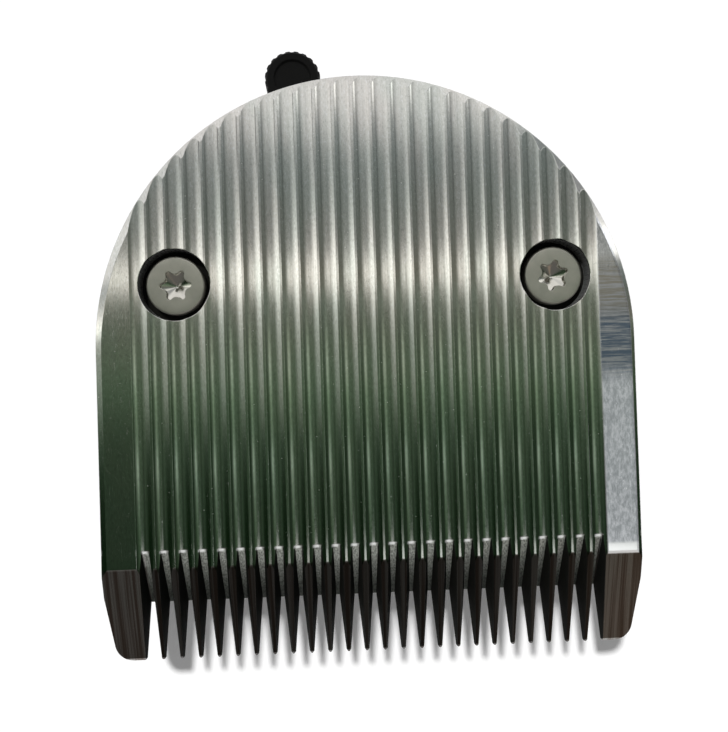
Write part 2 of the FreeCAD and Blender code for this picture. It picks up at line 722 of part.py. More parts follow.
def pressure_spring():
    """A leaf spring: a strip screwed to the carriage and two arms that press the cutter up."""
    body = new_body("pressure_spring", "0")
    seat, thick = CARRIAGE_TOP, "spring_thickness"
    over_rail = RAIL_TOP + " + spring_rail_gap"
    tip_top = CUTTER_BOTTOM + " - spring_tip_gap"
    strip_back = "spring_strip_front + spring_strip_width"
    bends = [("spring_strip_front", seat), ("-spring_rail_rear", over_rail),
             ("-spring_tip_rise_start", over_rail), ("-spring_tip_reach", tip_top + " - " + thick)]
    upper = [(strip_back, seat + " + " + thick)] + [(y, z + " + " + thick) for y, z in bends]
    side = polygon(body, "spring_side", "YZ_Plane", [(strip_back, seat)] + upper + bends[::-1])
    pad(body, "spring_sheet", side, "2 * " + SPRING_OUTER, both_ways=True)
    front = "-spring_tip_reach - " + RUNOUT
    window = polygon(body, "spring_window", "XY_Plane", [
        ("-" + SPRING_INNER, front), (SPRING_INNER, front),
        (SPRING_INNER, "spring_strip_front"), ("-" + SPRING_INNER, "spring_strip_front")])
    pocket(body, "spring_arms", window)
    holes = circles(body, "spring_hole_circles", "spring_screw_radius + spring_screw_gap",
                    [("-spring_screw_spread", SPRING_SCREW_Y), ("spring_screw_spread", SPRING_SCREW_Y)])
    pocket(body, "spring_holes", holes)
    return body


# --- the cutting-length lever ---

def spiral_slot():
    """The lever's cam slot: the follower comes in evenly from its rest place as the lever swings."""
    swing = math.radians(value(SWING))
    travel = value("carriage_travel")
    half = value("follower_radius + follower_gap")
    outer, inner, ends = [], [], []
    for step in range(9):
        angle = math.pi / 2 + swing * step / 8
        outward = FreeCAD.Vector(math.cos(angle), math.sin(angle), 0)
        around = FreeCAD.Vector(-math.sin(angle), math.cos(angle), 0)
        reach = value("follower_back") - travel * step / 8
        centre = outward * reach
        tangent = (around * (reach * swing) - outward * travel).normalize()
        normal = FreeCAD.Vector(tangent.y, -tangent.x, 0)
        outer.append(centre + normal * half)
        inner.append(centre - normal * half)
        ends.append((centre - tangent * half, centre + tangent * half))
    edges = [Part.Arc(outer[0], ends[0][0], inner[0]).toShape(),
             Part.Arc(outer[-1], ends[-1][1], inner[-1]).toShape()]
    for side in (outer, inner):
        curve = Part.BSplineCurve()
        curve.interpolate(side)
        edges.append(curve.toShape())
    face = Part.Face(Part.Wire(Part.__sortEdges__(edges)))
    slot = doc.addObject("Part::Feature", "cam_slot")
    slot.Shape = face.extrude(FreeCAD.Vector(0, 0, value("lever_thickness + 2 * " + RUNOUT)))
    slot.Placement.Base.z = value("lever_bottom - " + RUNOUT)
    return slot


def adjuster_lever():
    """A ring that turns on the base's collar, with a cam plate and an arm out to the knob."""
    z = ("lever_bottom", LEVER_TOP)
    through = ("lever_bottom - " + RUNOUT, LEVER_TOP + " + " + RUNOUT)
    hub = cylinder("lever_hub", "lever_hub_radius", z)
    fan = cylinder("lever_fan", "lever_fan_radius", z, start="lever_fan_start",
                   sweep="lever_fan_end - lever_fan_start")
    arm = block("lever_arm", ("0", "knob_reach"), ("-lever_arm_width / 2", "lever_arm_width / 2"), z)
    arm.Placement.Rotation = FreeCAD.Rotation(FreeCAD.Vector(0, 0, 1), 0.001)
    turn = "lever_angle * 1 deg"
    bind(arm, Placement__Rotation__Angle=turn, Placement__Base__x="lever_arm_width / 2 * sin(%s)" % turn,
         Placement__Base__y="-lever_arm_width / 2 * cos(%s)" % turn)
    end = cylinder("lever_end", "lever_arm_width / 2", z, KNOB_X, KNOB_Y)
    bore = cylinder("lever_bore", "collar_radius + lever_bore_gap", through)
    pin_hole = cylinder("lever_pin_hole", "knob_pin_radius + knob_pin_gap", through, KNOB_X, KNOB_Y)
    groove = doc.addObject("Part::Torus", "detent_groove")
    bind(groove, Radius1="detent_reach", Radius2="detent_ball_radius + detent_gap",
         Placement__Base__z=BALL_CENTRE)
    dimples = []
    for click in range(int(value("detent_clicks"))):
        dimple = doc.addObject("Part::Sphere", "detent_dimple_%d" % click)
        angle = "(detent_angle + %s * %d / (detent_clicks - 1)) * 1 deg" % (SWING, click)
        bind(dimple, Radius="detent_ball_radius + detent_gap",
             Placement__Base__x="detent_reach * cos(%s)" % angle,
             Placement__Base__y="detent_reach * sin(%s)" % angle,
             Placement__Base__z=BALL_CENTRE + " - detent_dimple_extra")
        dimples.append(dimple)
    blank = join("lever_blank", hub, fan, arm, end)
    return cut("adjuster_lever", blank, bore, pin_hole, spiral_slot(), groove, *dimples)


def lever_knob():
    body = new_body("lever_knob", LEVER_TOP)
    bind(body, Placement__Base__x=KNOB_X, Placement__Base__y=KNOB_Y)
    revolve(body, "knob_blank", [
        ("0", "0"), ("knob_radius", "0"), ("knob_radius", "knob_height - knob_edge"),
        ("knob_radius - knob_edge", "knob_height"), ("knob_dish_radius", "knob_height"),
        ("knob_dish_radius - knob_dish_depth", "knob_height - knob_dish_depth"),
        ("0", "knob_height - knob_dish_depth")])
    scallop = circles(body, "knob_scallop_circle", "knob_scallop_radius",
                      [("knob_radius + knob_scallop_radius - knob_scallop_depth", "0")])
    ring_about_z(body, "knob_scallop_ring", pocket(body, "knob_scallop", scallop), "knob_scallops")
    bore = circles(body, "knob_bore_circle", "knob_pin_radius + knob_pin_gap", [("0", "0")])
    pocket(body, "knob_bore", bore, "knob_pin_depth + knob_pin_gap")
    return body


def lever_retaining_ring():
    z = ("ring_groove_bottom + ring_gap", "ring_groove_bottom + ring_gap + ring_thickness")
    disc = cylinder("ring_disc", "ring_outer_radius", z)
    reach = (z[0] + " - " + RUNOUT, z[1] + " + " + RUNOUT)
    hole = cylinder("ring_hole", "collar_radius - ring_groove_depth + ring_gap", reach)
    mouth = cylinder("ring_mouth", "ring_outer_radius + " + RUNOUT, reach, start="-90 - ring_opening / 2",
                     sweep="ring_opening")
    return cut("lever_retaining_ring", disc, hole, mouth)


# --- detent ---

def detent_ball():
    ball = doc.addObject("Part::Sphere", "detent_ball")
    return bind(ball, Radius="detent_ball_radius", Placement__Base__x=DETENT_X, Placement__Base__y=DETENT_Y,
                Placement__Base__z=BALL_CENTRE)


def detent_spring():
    wire = "detent_wire_radius"
    bottom = "(%s + 2 * sqrt(detent_ball_radius * detent_wire_radius))" % BALL_CENTRE
    rise = "(detent_bore_top - detent_wire_radius - %s)" % bottom
    coil = doc.addObject("Part::Helix", "detent_coil")
    coil.SegmentLength = 1   # an edge for each turn, so that no face of the swept wire winds over itself
    bind(coil, Radius="detent_ball_radius - %s" % wire, Height=rise, Pitch="%s / detent_spring_turns" % rise)
    section = doc.addObject("Part::Circle", "detent_wire")
    section.Placement.Rotation = FreeCAD.Rotation(FreeCAD.Vector(1, 0, 0), 90)
    bind(section, Radius=wire, Placement__Base__x="detent_ball_radius - %s" % wire)
    spring = doc.addObject("Part::Sweep", "detent_spring")
    spring.Sections = [section]
    spring.Spine = (coil, ["Edge%d" % (turn + 1) for turn in range(int(value("detent_spring_turns")))])
    spring.Solid = True
    spring.Frenet = True
    return bind(spring, Placement__Base__x=DETENT_X, Placement__Base__y=DETENT_Y, Placement__Base__z=bottom)


# --- base frame ---

def base_frame():
    """An open box under the comb: a deck, a collar round the drive bore, and seats for everything."""
    top = "comb_face_height"
    outer, inner = "base_outer_radius", BASE_INNER
    above = (DECK_TOP, top + " + " + RUNOUT)
    below = ("-" + RUNOUT, "deck_bottom")
    through_deck = (below[0], DECK_TOP + " + " + RUNOUT)
    inside = ("-base_front + apron_wall", "0")
    front = ("-base_front - " + RUNOUT, "-base_front + apron_wall + " + RUNOUT)

    # walls and deck, open above for the cutter and behind for the lever's arm
    shell = join("base_blank",
                 cylinder("base_rear", outer, ("0", top), sweep="180"),
                 block("base_sides", mirrored(outer), ("-base_front", "0"), ("0", top)))
    stop = "asin((lever_arm_width / 2 + lever_stop_gap) / %s) / 1 deg" % inner
    walls = cut("base_walls", shell,
                cylinder("upper_hollow_rear", inner, above, sweep="180"),
                block("upper_hollow", mirrored(inner), inside, above),
                cylinder("lower_hollow_rear", inner, below, sweep="180"),
                block("lower_hollow", mirrored(inner), inside, below),
                block("cutter_mouth", mirrored(inner), front, ("apron_height", above[1])),
                cylinder("lever_opening", outer + " + " + RUNOUT, below,
                         start="180 - lever_angle - " + stop, sweep="%s + 2 * %s" % (SWING, stop)))

    width = "(follower_radius + 3 * follower_gap)"
    travel = ("follower_back - carriage_travel", "follower_back")
    ring_z = ("ring_groove_bottom", "ring_groove_bottom + ring_thickness + 2 * ring_gap")
    added = [
        cylinder("collar", "collar_radius", ("0", DECK_TOP)),
        cylinder("detent_boss", "detent_boss_radius", ("deck_bottom", "detent_boss_top"), DETENT_X, DETENT_Y),
    ]
    removed = [
        cylinder("drive_bore", "drive_bore_radius", through_deck),
        cylinder("detent_bore", "detent_ball_radius + detent_gap",
                 ("deck_bottom - " + RUNOUT, "detent_bore_top"), DETENT_X, DETENT_Y),
        block("follower_slot", mirrored(width), travel, through_deck),
        cylinder("follower_slot_front", width, through_deck, y=travel[0]),
        cylinder("follower_slot_back", width, through_deck, y=travel[1]),
        cut("ring_groove", cylinder("ring_groove_disc", "collar_radius + " + RUNOUT, ring_z),
            cylinder("ring_groove_core", "collar_radius - ring_groove_depth", ring_z)),
    ]
    for side, sign in SIDES:
        x, y = sign + "screw_spread", "screw_back"
        added += [
            cylinder("screw_boss_" + side, "boss_radius", (DECK_TOP, top), x, y),
            block("boss_web_" + side, span(sign, "screw_spread", inner),
                  ("screw_back - boss_web_width / 2", "screw_back + boss_web_width / 2"), (DECK_TOP, top)),
            block("guide_rib_" + side, span(sign, "rib_outer - rib_width", "rib_outer"),
                  ("-rib_front", "rib_back"), (DECK_TOP, DECK_TOP + " + rib_height")),
        ]
        removed += [
            cylinder("insert_bore_" + side, "insert_radius + insert_fit_gap",
                     (INSERT_TOP + " - insert_length", above[1]), x, y),
            cylinder("screw_bore_" + side, "screw_radius + screw_clearance",
                     (top + " - insert_bore_depth", top), x, y),
            block("latch_recess_" + side, span(sign, outer + " - latch_recess_depth", outer + " + " + RUNOUT),
                  ("-latch_recess_length", "0"),
                  ("latch_recess_bottom", "latch_recess_bottom + latch_recess_height")),
            block("tongue_window_" + side, span(sign, "tongue_window_spread - tongue_window_width / 2",
                                                "tongue_window_spread + tongue_window_width / 2"), front,
                  ("tongue_window_bottom", "tongue_window_bottom + tongue_window_height")),
        ]
    return cut("base_frame", join("base_body", walls, *added), *removed)


# --- build, check and write ---

nodes = [comb_blade(), cutter_blade(), base_frame(), cutter_driver(), guide_rail(), carriage(),
         pressure_spring(), cam_follower_pin(), adjuster_lever(), lever_knob(), knob_pin(),
         lever_retaining_ring(), detent_ball(), detent_spring()]
for side, sign in SIDES:
    nodes += [comb_screw(side, sign), thread_insert(side, sign)]
    nodes += [driver_rivet(side, sign), spring_screw(side, sign)]
doc.recompute()

for item in doc.Objects:
    if "Invalid" in item.State or "Error" in item.State:
        raise RuntimeError("%s did not build: %s" % (item.Name, item.State))
for node in nodes:
    if node.Shape.isNull() or not node.Shape.isValid():
        raise RuntimeError("%s has no valid shape" % node.Name)

os.makedirs("parts", exist_ok=True)
for node in nodes:
    node.Label = node.Name
    node.Shape.exportStep("parts/%s.step" % node.Label)
    print("%-22s solids %d  volume %9.3f mm3" % (node.Label, len(node.Shape.Solids), node.Shape.Volume))
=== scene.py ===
"""Looks for a detachable clipper blade head: materials, floor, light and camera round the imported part."""

import json
import math
from types import SimpleNamespace

import bpy
from mathutils import Euler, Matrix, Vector


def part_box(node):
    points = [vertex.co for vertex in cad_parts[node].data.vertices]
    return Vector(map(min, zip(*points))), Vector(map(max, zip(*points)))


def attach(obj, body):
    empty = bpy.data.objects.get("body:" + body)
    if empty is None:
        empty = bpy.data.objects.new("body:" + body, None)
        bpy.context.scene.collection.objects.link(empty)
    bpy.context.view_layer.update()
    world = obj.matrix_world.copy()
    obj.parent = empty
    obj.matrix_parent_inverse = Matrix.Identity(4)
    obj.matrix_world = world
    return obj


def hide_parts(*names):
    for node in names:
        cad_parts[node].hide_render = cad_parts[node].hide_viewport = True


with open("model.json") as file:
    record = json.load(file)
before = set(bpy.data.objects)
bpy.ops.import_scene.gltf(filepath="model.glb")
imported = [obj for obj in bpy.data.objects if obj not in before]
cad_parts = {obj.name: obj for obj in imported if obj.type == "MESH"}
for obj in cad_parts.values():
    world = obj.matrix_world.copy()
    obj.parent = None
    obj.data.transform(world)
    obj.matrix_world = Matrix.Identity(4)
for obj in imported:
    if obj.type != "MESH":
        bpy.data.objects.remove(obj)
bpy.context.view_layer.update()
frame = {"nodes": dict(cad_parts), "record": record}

MM = 0.001
PITCH = 1.6      # from flute to flute, in mm
BLACK = (0.0, 0.0, 0.0)


# --- short calls for node trees ---

class Nodes:
    """Builds one node tree. Any value may be a number, a tuple or another node's socket."""

    def __init__(self, tree):
        self.tree = tree
        tree.nodes.clear()

    def add(self, kind, values=None, **settings):
        node = self.tree.nodes.new("ShaderNode" + kind)
        for name, setting in settings.items():
            setattr(node, name, setting)
        for key, value in (values or {}).items():
            self.put(node.inputs[key], value)
        return node

    def put(self, socket, value):
        if isinstance(value, bpy.types.NodeSocket):
            self.tree.links.new(value, socket)
        elif isinstance(value, tuple) and socket.type == "RGBA":
            socket.default_value = (*value, 1.0)
        else:
            socket.default_value = value

    def math(self, operation, first, second=0.0, clamp=False):
        return self.add("Math", {0: first, 1: second}, operation=operation, use_clamp=clamp).outputs[0]

    def times(self, first, *others):
        for other in others:
            if isinstance(first, float) and isinstance(other, float):
                first = first * other
            else:
                first = self.math("MULTIPLY", first, other)
        return first

    def plus(self, first, *others):
        for other in others:
            first = self.math("ADD", first, other)
        return first

    def step(self, value, start, end, low=0.0, high=1.0):
        """Rises smoothly from low at start to high at end; start may be the larger."""
        if start > end:
            start, end, low, high = end, start, high, low
        limits = {"Value": value, "From Min": start, "From Max": end, "To Min": low, "To Max": high}
        return self.add("MapRange", limits, interpolation_type="SMOOTHSTEP").outputs[0]

    def window(self, value, centre, half, soft):
        """One inside centre +- half, falling smoothly to zero over soft."""
        away = self.math("ABSOLUTE", self.math("SUBTRACT", value, centre))
        return self.step(away, half + soft / 2, half - soft / 2)

    def mix(self, factor, first, second):
        """A colour between two, as numbers, tuples or sockets."""
        return self.add("Mix", {0: factor, 6: first, 7: second}, data_type="RGBA").outputs[2]

    def scaled(self, colour, factor):
        """A colour times a number."""
        node = self.add("VectorMath", {0: colour, "Scale": factor}, operation="SCALE")
        return node.outputs[0]

    def summed(self, first, second):
        return self.add("VectorMath", {0: first, 1: second}, operation="ADD").outputs[0]

    def ramp(self, factor, stops):
        node = self.add("ValToRGB", {0: factor})
        marks = node.color_ramp.elements
        while len(marks) < len(stops):
            marks.new(0.5)
        for mark, (place, colour) in zip(marks, stops):
            mark.position = place
            mark.color = (*colour, 1.0)
        return node.outputs[0]

    def stretched(self, vector, x=1.0, y=1.0, z=1.0, turn=(0.0, 0.0, 0.0)):
        return self.add("Mapping", {"Vector": vector, "Scale": (x, y, z), "Rotation": turn}).outputs[0]

    def noise(self, vector, scale, detail=3.0, rough=0.55, warp=0.0):
        return self.add("TexNoise", {"Vector": vector, "Scale": scale, "Detail": detail,
                                     "Roughness": rough, "Distortion": warp}).outputs[0]

    def cells(self, vector, scale):
        return self.add("TexVoronoi", {"Vector": vector, "Scale": scale}, feature="F1").outputs["Distance"]


def millimetres(n):
    """Object coordinates in millimetres, whole and split."""
    place = n.add("TexCoord").outputs["Object"]
    scaled = n.add("VectorMath", {0: place, "Scale": 1000.0}, operation="SCALE").outputs[0]
    split = n.add("SeparateXYZ", {0: scaled})
    return scaled, split.outputs[0], split.outputs[1], split.outputs[2]


def soft_edges(n, radius):
    """(normal with edges rounded over a radius in mm, how near to a sharp edge a point is)."""
    rounded = n.add("Bevel", {"Radius": n.times(radius, MM)}, samples=6).outputs[0]
    normal = n.add("NewGeometry").outputs["Normal"]
    facing = n.add("VectorMath", {0: rounded, 1: normal}, operation="DOT_PRODUCT").outputs["Value"]
    return rounded, n.step(facing, 0.995, 0.85)


def bump(n, height, depth, normal):
    """A bump of a depth in mm on top of a normal."""
    values = {"Height": height, "Distance": depth * MM, "Strength": 1.0, "Normal": normal}
    return n.add("Bump", values).outputs[0]


def finish_material(n, **values):
    shader = n.add("BsdfPrincipled")
    for name, value in values.items():
        n.put(shader.inputs[name.replace("_", " ")], value)
    out = n.add("OutputMaterial")
    n.tree.links.new(shader.outputs[0], out.inputs["Surface"])


def new_material(name):
    material = bpy.data.materials.new(name)
    material.use_nodes = True
    return material, Nodes(material.node_tree)


# --- steels ---

def screw_centres():
    """Where the two comb screws stand, in mm."""
    centres = []
    for name in ("comb_screw_left", "comb_screw_right"):
        low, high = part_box(name)
        middle = (low + high) / 2 / MM
        centres.append((middle.x, middle.y))
    return centres


def near_screws(n, x, y, radius, soft):
    """One within a radius of either screw's axis."""
    near = 0.0
    for centre_x, centre_y in screw_centres():
        away_x = n.math("SUBTRACT", x, centre_x)
        away_y = n.math("SUBTRACT", y, centre_y)
        away = n.math("SQRT", n.plus(n.times(away_x, away_x), n.times(away_y, away_y)))
        near = n.plus(n.step(away, radius + soft, radius), near)
    return near


def comb_regions(n, x, y, z, facing):
    """Masks, each from 0 to 1, for the parts of the comb that look different. Places are in mm."""
    aside = n.math("ABSOLUTE", x)
    sideways = n.math("ABSOLUTE", facing.outputs[0])
    forward = facing.outputs[1]
    part = SimpleNamespace()
    part.teeth_only = n.step(aside, 19.4, 19.2)
    part.flat_side = n.times(n.step(aside, 19.75, 19.95), n.step(z, 12.5, 12.55))
    part.right_flat = n.times(part.flat_side, n.step(x, -2.0, 2.0))
    part.bright_band = n.times(part.flat_side, n.step(y, -17.45, -17.65))
    part.ground_front = n.step(y, -18.2, -18.5)
    part.slot_ramp = n.times(n.step(y, -16.5, -16.8), part.teeth_only,
                             n.step(forward, -0.40, -0.48), n.step(forward, -0.66, -0.60))
    from_flute = n.math("SUBTRACT", x, n.times(n.math("ROUND", n.times(x, 1 / PITCH)), PITCH))
    # Slot lips: the mask for a painted highlight, a pale bar across the start of each slot.
    part.slot_lip = n.times(n.window(y, -17.0, 0.12, 0.12), n.window(from_flute, -0.10, 0.26, 0.26),
                            n.step(aside, 19.6, 19.4))
    # Slot walls and screw wells: the mask for painted shade, near black.
    slot_wall = n.times(n.step(sideways, 0.75, 0.9), n.step(y, -16.3, -16.6), n.step(aside, 21.0, 20.6))
    well = n.times(near_screws(n, x, y, 3.03, 0.03), n.step(z, 12.35, 12.1))
    part.recess = n.math("MAXIMUM", slot_wall, well)
    return part


def comb_marks(n, place, y, edge):
    """The comb's fine marks: lines, clouds, rubbing, pits, scratches, specks and burrs."""
    mark = SimpleNamespace()
    mark.streaks = n.noise(n.stretched(place, 9.0, 0.16, 9.0), 1.0, 4.0, 0.6)
    mark.fine = n.noise(n.stretched(place, 26.0, 0.5, 26.0), 1.0, 2.0)
    mark.brushed = n.noise(n.stretched(place, 4.2, 0.03, 0.05), 1.0, 3.0, 0.6)
    mark.clouds = n.noise(n.stretched(place, 0.35, 0.12, 0.35), 1.0, 2.0)
    mark.mottle = n.noise(n.stretched(place, 3.6, 1.5, 3.6), 1.0, 5.0, 0.78)
    mark.rubbed = n.noise(n.stretched(place, 0.30, 6.0, 1.0), 1.0, 4.0, 0.7)
    mark.pitted = n.noise(n.stretched(place, 7.0, 3.0, 7.0), 1.0, 3.0, 0.7)
    mark.scratches = n.noise(n.stretched(place, 7.0, 1.1, 7.0, (0.0, 0.0, 0.12)), 1.0, 2.0, 0.5, 1.5)
    mark.specks = n.times(n.step(n.cells(n.stretched(place, 1.9, 1.3, 1.9), 1.0), 0.065, 0.035),
                          n.step(y, -17.0, -16.0), n.step(mark.pitted, 0.45, 0.55))
    mark.burrs = n.times(edge, n.step(n.noise(n.stretched(place, 5.0, 3.0, 5.0), 1.0, 3.0), 0.60, 0.68),
                         n.step(y, -18.0, -17.0))
    return mark


def comb_surface_tint(n, part, mark):
    """Bare steel with clouds, lines and pits, then a painted dark reflection on the ground front: brown with
    grinding lines, far darker than bare steel, darkest on the teeth.
    """
    tint = n.mix(n.step(mark.clouds, 0.35, 0.65), (0.65, 0.635, 0.62), (0.59, 0.61, 0.59))
    tint = n.mix(n.times(n.step(mark.streaks, 0.45, 0.8), 0.30), tint, (0.42, 0.43, 0.41))
    polished = n.math("SUBTRACT", 1.0, part.ground_front)
    tint = n.mix(n.times(n.step(mark.pitted, 0.52, 0.68), polished, 0.50), tint, (0.76, 0.77, 0.80))
    tint = n.mix(n.times(n.step(mark.pitted, 0.46, 0.34), polished, 0.45), tint, (0.42, 0.43, 0.43))
    # Ground front: a painted dark reflection, brown with grinding lines, then halfway to black, and darker
    # still on the teeth.
    lines = n.step(mark.brushed, 0.40, 0.60, 0.20, 1.00)
    tint = n.mix(n.times(part.ground_front, lines), tint, (0.24, 0.19, 0.16))
    tint = n.mix(n.times(part.ground_front, 0.5), tint, BLACK)
    return n.mix(n.times(part.ground_front, part.teeth_only, 0.6), tint, BLACK)


def comb_painted_tint(n, part, mark, y, tint):
    """Painted reflections, highlights and shade on the right shoulder, slots, wells and lips, then pale
    specks and burrs. They aren't the colour of bare steel.
    """
    # Right shoulder: a painted reflection, mottled blue-grey.
    mottled_painted_reflection = n.mix(n.step(mark.mottle, 0.38, 0.64), (0.38, 0.40, 0.43), (0.68, 0.69, 0.74))
    tint = n.mix(n.times(part.right_flat, 0.9), tint, mottled_painted_reflection)
    # Right shoulder: a painted highlight, a white band along its front.
    tint = n.mix(n.times(part.right_flat, n.step(y, -17.45, -17.75)), tint, (0.93, 0.94, 0.95))
    # Right shoulder: a painted dark reflection, dark blue below and warmer above, with paler rubbed streaks.
    painted_dark_band = n.mix(n.step(y, 1.0, 3.0), (0.09, 0.12, 0.16), (0.22, 0.21, 0.18))
    rubbed_painted_reflection = n.mix(n.step(mark.rubbed, 0.40, 0.62), painted_dark_band, (0.30, 0.31, 0.32))
    tint = n.mix(n.times(part.right_flat, n.step(y, -4.5, -2.0), n.step(y, 7.5, 5.5)), tint, rubbed_painted_reflection)
    # Slot ramps: painted light and shade, paler near the top of each ramp and darker towards the bottom, in
    # streaks.
    painted_ramp_light = n.times(n.step(y, -21.3, -17.2, 0.14, 1.0), n.step(mark.streaks, 0.36, 0.62, 0.35, 1.0))
    tint = n.mix(part.slot_ramp, tint, n.mix(painted_ramp_light, (0.03, 0.035, 0.03), (0.80, 0.84, 0.78)))
    # Painted shade: slot walls and screw wells near black.
    tint = n.mix(part.recess, tint, (0.007, 0.007, 0.006))
    tint = n.mix(n.times(mark.specks, 0.6), tint, (0.76, 0.76, 0.74))
    # Pale burrs on the front edges, and the painted highlight on the slot lips.
    return n.mix(n.math("MAXIMUM", mark.burrs, part.slot_lip), tint, (0.88, 0.89, 0.87))


def comb_roughness(n, part, mark):
    """Satin on the flutes, duller in the slots, smoothest on the bright band."""
    satin = n.plus(0.070, n.times(n.step(mark.streaks, 0.35, 0.85), 0.06))
    marks = n.times(n.step(mark.scratches, 0.62, 0.70), part.flat_side, 0.12)
    patches = n.times(part.right_flat, n.step(mark.mottle, 0.3, 0.8), 0.12)
    dull = n.plus(n.times(part.ground_front, 0.10), n.times(part.slot_ramp, 0.30), n.times(part.recess, 0.65))
    rough = n.plus(satin, marks, patches, dull, n.times(mark.specks, 0.3))
    return n.times(rough, n.math("SUBTRACT", 1.0, n.times(part.bright_band, 0.75)))


def comb_steel():
    """Stainless: bright flats and flutes; the dark ground front is a painted dark reflection, and the
    near-black slot walls and screw wells are painted shade.
    """
    material, n = new_material("comb_steel")
    place, x, y, z = millimetres(n)
    crest_radius = n.step(y, -18.2, -17.0, 0.035, 0.08)
    rounded, edge = soft_edges(n, n.plus(crest_radius, n.times(n.window(y, -16.9, 0.25, 0.2), 0.10)))
    facing = n.add("SeparateXYZ", {0: n.add("TexCoord").outputs["Normal"]})
    part = comb_regions(n, x, y, z, facing)
    mark = comb_marks(n, place, y, edge)
    tint = comb_painted_tint(n, part, mark, y, comb_surface_tint(n, part, mark))
    fine_lines = n.times(mark.scratches, part.flat_side, 0.3)
    grain = n.plus(n.times(mark.streaks, 0.6), n.times(mark.fine, 0.25), fine_lines)
    matt = n.plus(part.recess, n.times(mark.burrs, 0.6), n.times(part.slot_lip, 0.85),
                  n.times(part.right_flat, n.step(y, 7.0, 4.5), 0.5))
    finish_material(n, Base_Color=tint, Metallic=n.math("SUBTRACT", 1.0, matt, clamp=True),
                    Roughness=comb_roughness(n, part, mark), Specular_IOR_Level=0.12,
                    Normal=bump(n, grain, 0.002, rounded))
    return material


def plain_steel(name, colour, dark, rough, grain, lines=(3.0, 3.0, 3.0), edge_radius=0.06):
    """A turned, punched or rolled steel, with faint lines, handling marks and bright edges."""
    material, n = new_material(name)
    place = millimetres(n)[0]
    rounded, edge = soft_edges(n, edge_radius)
    lined = n.noise(n.stretched(place, *lines), 1.0, 4.0, 0.6)
    clouds = n.noise(place, 0.6, 3.0)
    tint = n.mix(n.step(clouds, 0.3, 0.7), colour, dark)
    tint = n.mix(n.times(n.step(lined, 0.5, 0.75), 0.35), tint, dark)
    tint = n.mix(n.times(edge, 0.6), tint, tuple(min(1.0, c * 1.3) for c in colour))
    roughness = n.plus(rough, n.times(n.step(lined, 0.3, 0.75), 0.12), n.times(edge, -0.05))
    finish_material(n, Base_Color=tint, Metallic=1.0, Roughness=roughness,
                    Normal=bump(n, lined, grain, rounded))
    return material


def screw_steel():
    """Satin head face with faint turned rings, and a bright pressed socket."""
    material, n = new_material("screw_steel")
    place, x, y, z = millimetres(n)
    rounded, edge = soft_edges(n, 0.05)
    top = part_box("comb_screw_left")[1].z / MM
    socket = n.times(near_screws(n, x, y, 1.42, 0.06), n.step(z, top - 0.04, top - 0.10))
    fine = n.noise(place, 14.0, 4.0, 0.6)
    clouds = n.noise(place, 0.9, 3.0)
    tint = n.mix(n.step(clouds, 0.3, 0.7), (0.50, 0.49, 0.44), (0.44, 0.435, 0.39))
    tint = n.mix(n.times(edge, 0.8), tint, (0.75, 0.74, 0.70))
    tint = n.mix(socket, tint, (0.62, 0.61, 0.57))
    rough = n.plus(0.36, n.times(fine, 0.10), n.times(edge, -0.15))
    rough = n.times(rough, n.math("SUBTRACT", 1.0, n.times(socket, 0.70)))
    finish_material(n, Base_Color=tint, Metallic=1.0, Roughness=rough, Normal=bump(n, fine, 0.003, rounded))
    return material


# --- plastics ---

def moulded_plastic(name, colour, worn, rough, grain=0.02, scale=6.0, shine=0.45):
    """Moulded plastic: a fine spark-eroded texture, slight mottling, polished and paler edges."""
    material, n = new_material(name)
    place = millimetres(n)[0]
    rounded, edge = soft_edges(n, 0.08)
    fine = n.noise(place, scale, 5.0, 0.65)
    clouds = n.noise(place, 0.35, 3.0)
    tint = n.mix(n.step(clouds, 0.3, 0.7), colour, tuple(c * 0.82 for c in colour))
    tint = n.mix(n.times(edge, n.step(fine, 0.35, 0.6), 0.6), tint, worn)
    roughness = n.plus(rough, n.times(n.step(fine, 0.3, 0.7), 0.14), n.times(edge, -0.10))
    finish_material(n, Base_Color=tint, Roughness=roughness, Specular_IOR_Level=shine,
                    Normal=bump(n, fine, grain, rounded))
    return material


MATERIALS = {
    "comb_steel": comb_steel(),
    "cutter_steel": plain_steel("cutter_steel", (0.50, 0.49, 0.47), (0.34, 0.33, 0.31), 0.24, 0.006,
                                (0.6, 8.0, 0.6)),
    "screw_steel": screw_steel(),
    "small_steel": plain_steel("small_steel", (0.58, 0.57, 0.55), (0.44, 0.43, 0.41), 0.26, 0.004),
    "spring_steel": plain_steel("spring_steel", (0.52, 0.51, 0.50), (0.38, 0.37, 0.36), 0.28, 0.004,
                                (6.0, 0.5, 6.0)),
    "lever_steel": plain_steel("lever_steel", (0.55, 0.54, 0.52), (0.42, 0.41, 0.39), 0.30, 0.006),
    "insert_brass": plain_steel("insert_brass", (0.76, 0.57, 0.27), (0.55, 0.39, 0.18), 0.30, 0.006),
    "base_plastic": moulded_plastic("base_plastic", (0.022, 0.023, 0.024), (0.09, 0.09, 0.09), 0.42),
    "driver_plastic": moulded_plastic("driver_plastic", (0.62, 0.60, 0.55), (0.74, 0.72, 0.68), 0.38),
    "carriage_plastic": moulded_plastic("carriage_plastic", (0.12, 0.125, 0.13), (0.25, 0.25, 0.25), 0.40),
    "knob_plastic": moulded_plastic("knob_plastic", (0.004, 0.004, 0.004), (0.012, 0.012, 0.012), 0.50, 0.012,
                                    9.0, 0.12),
}


# --- comb screws ---

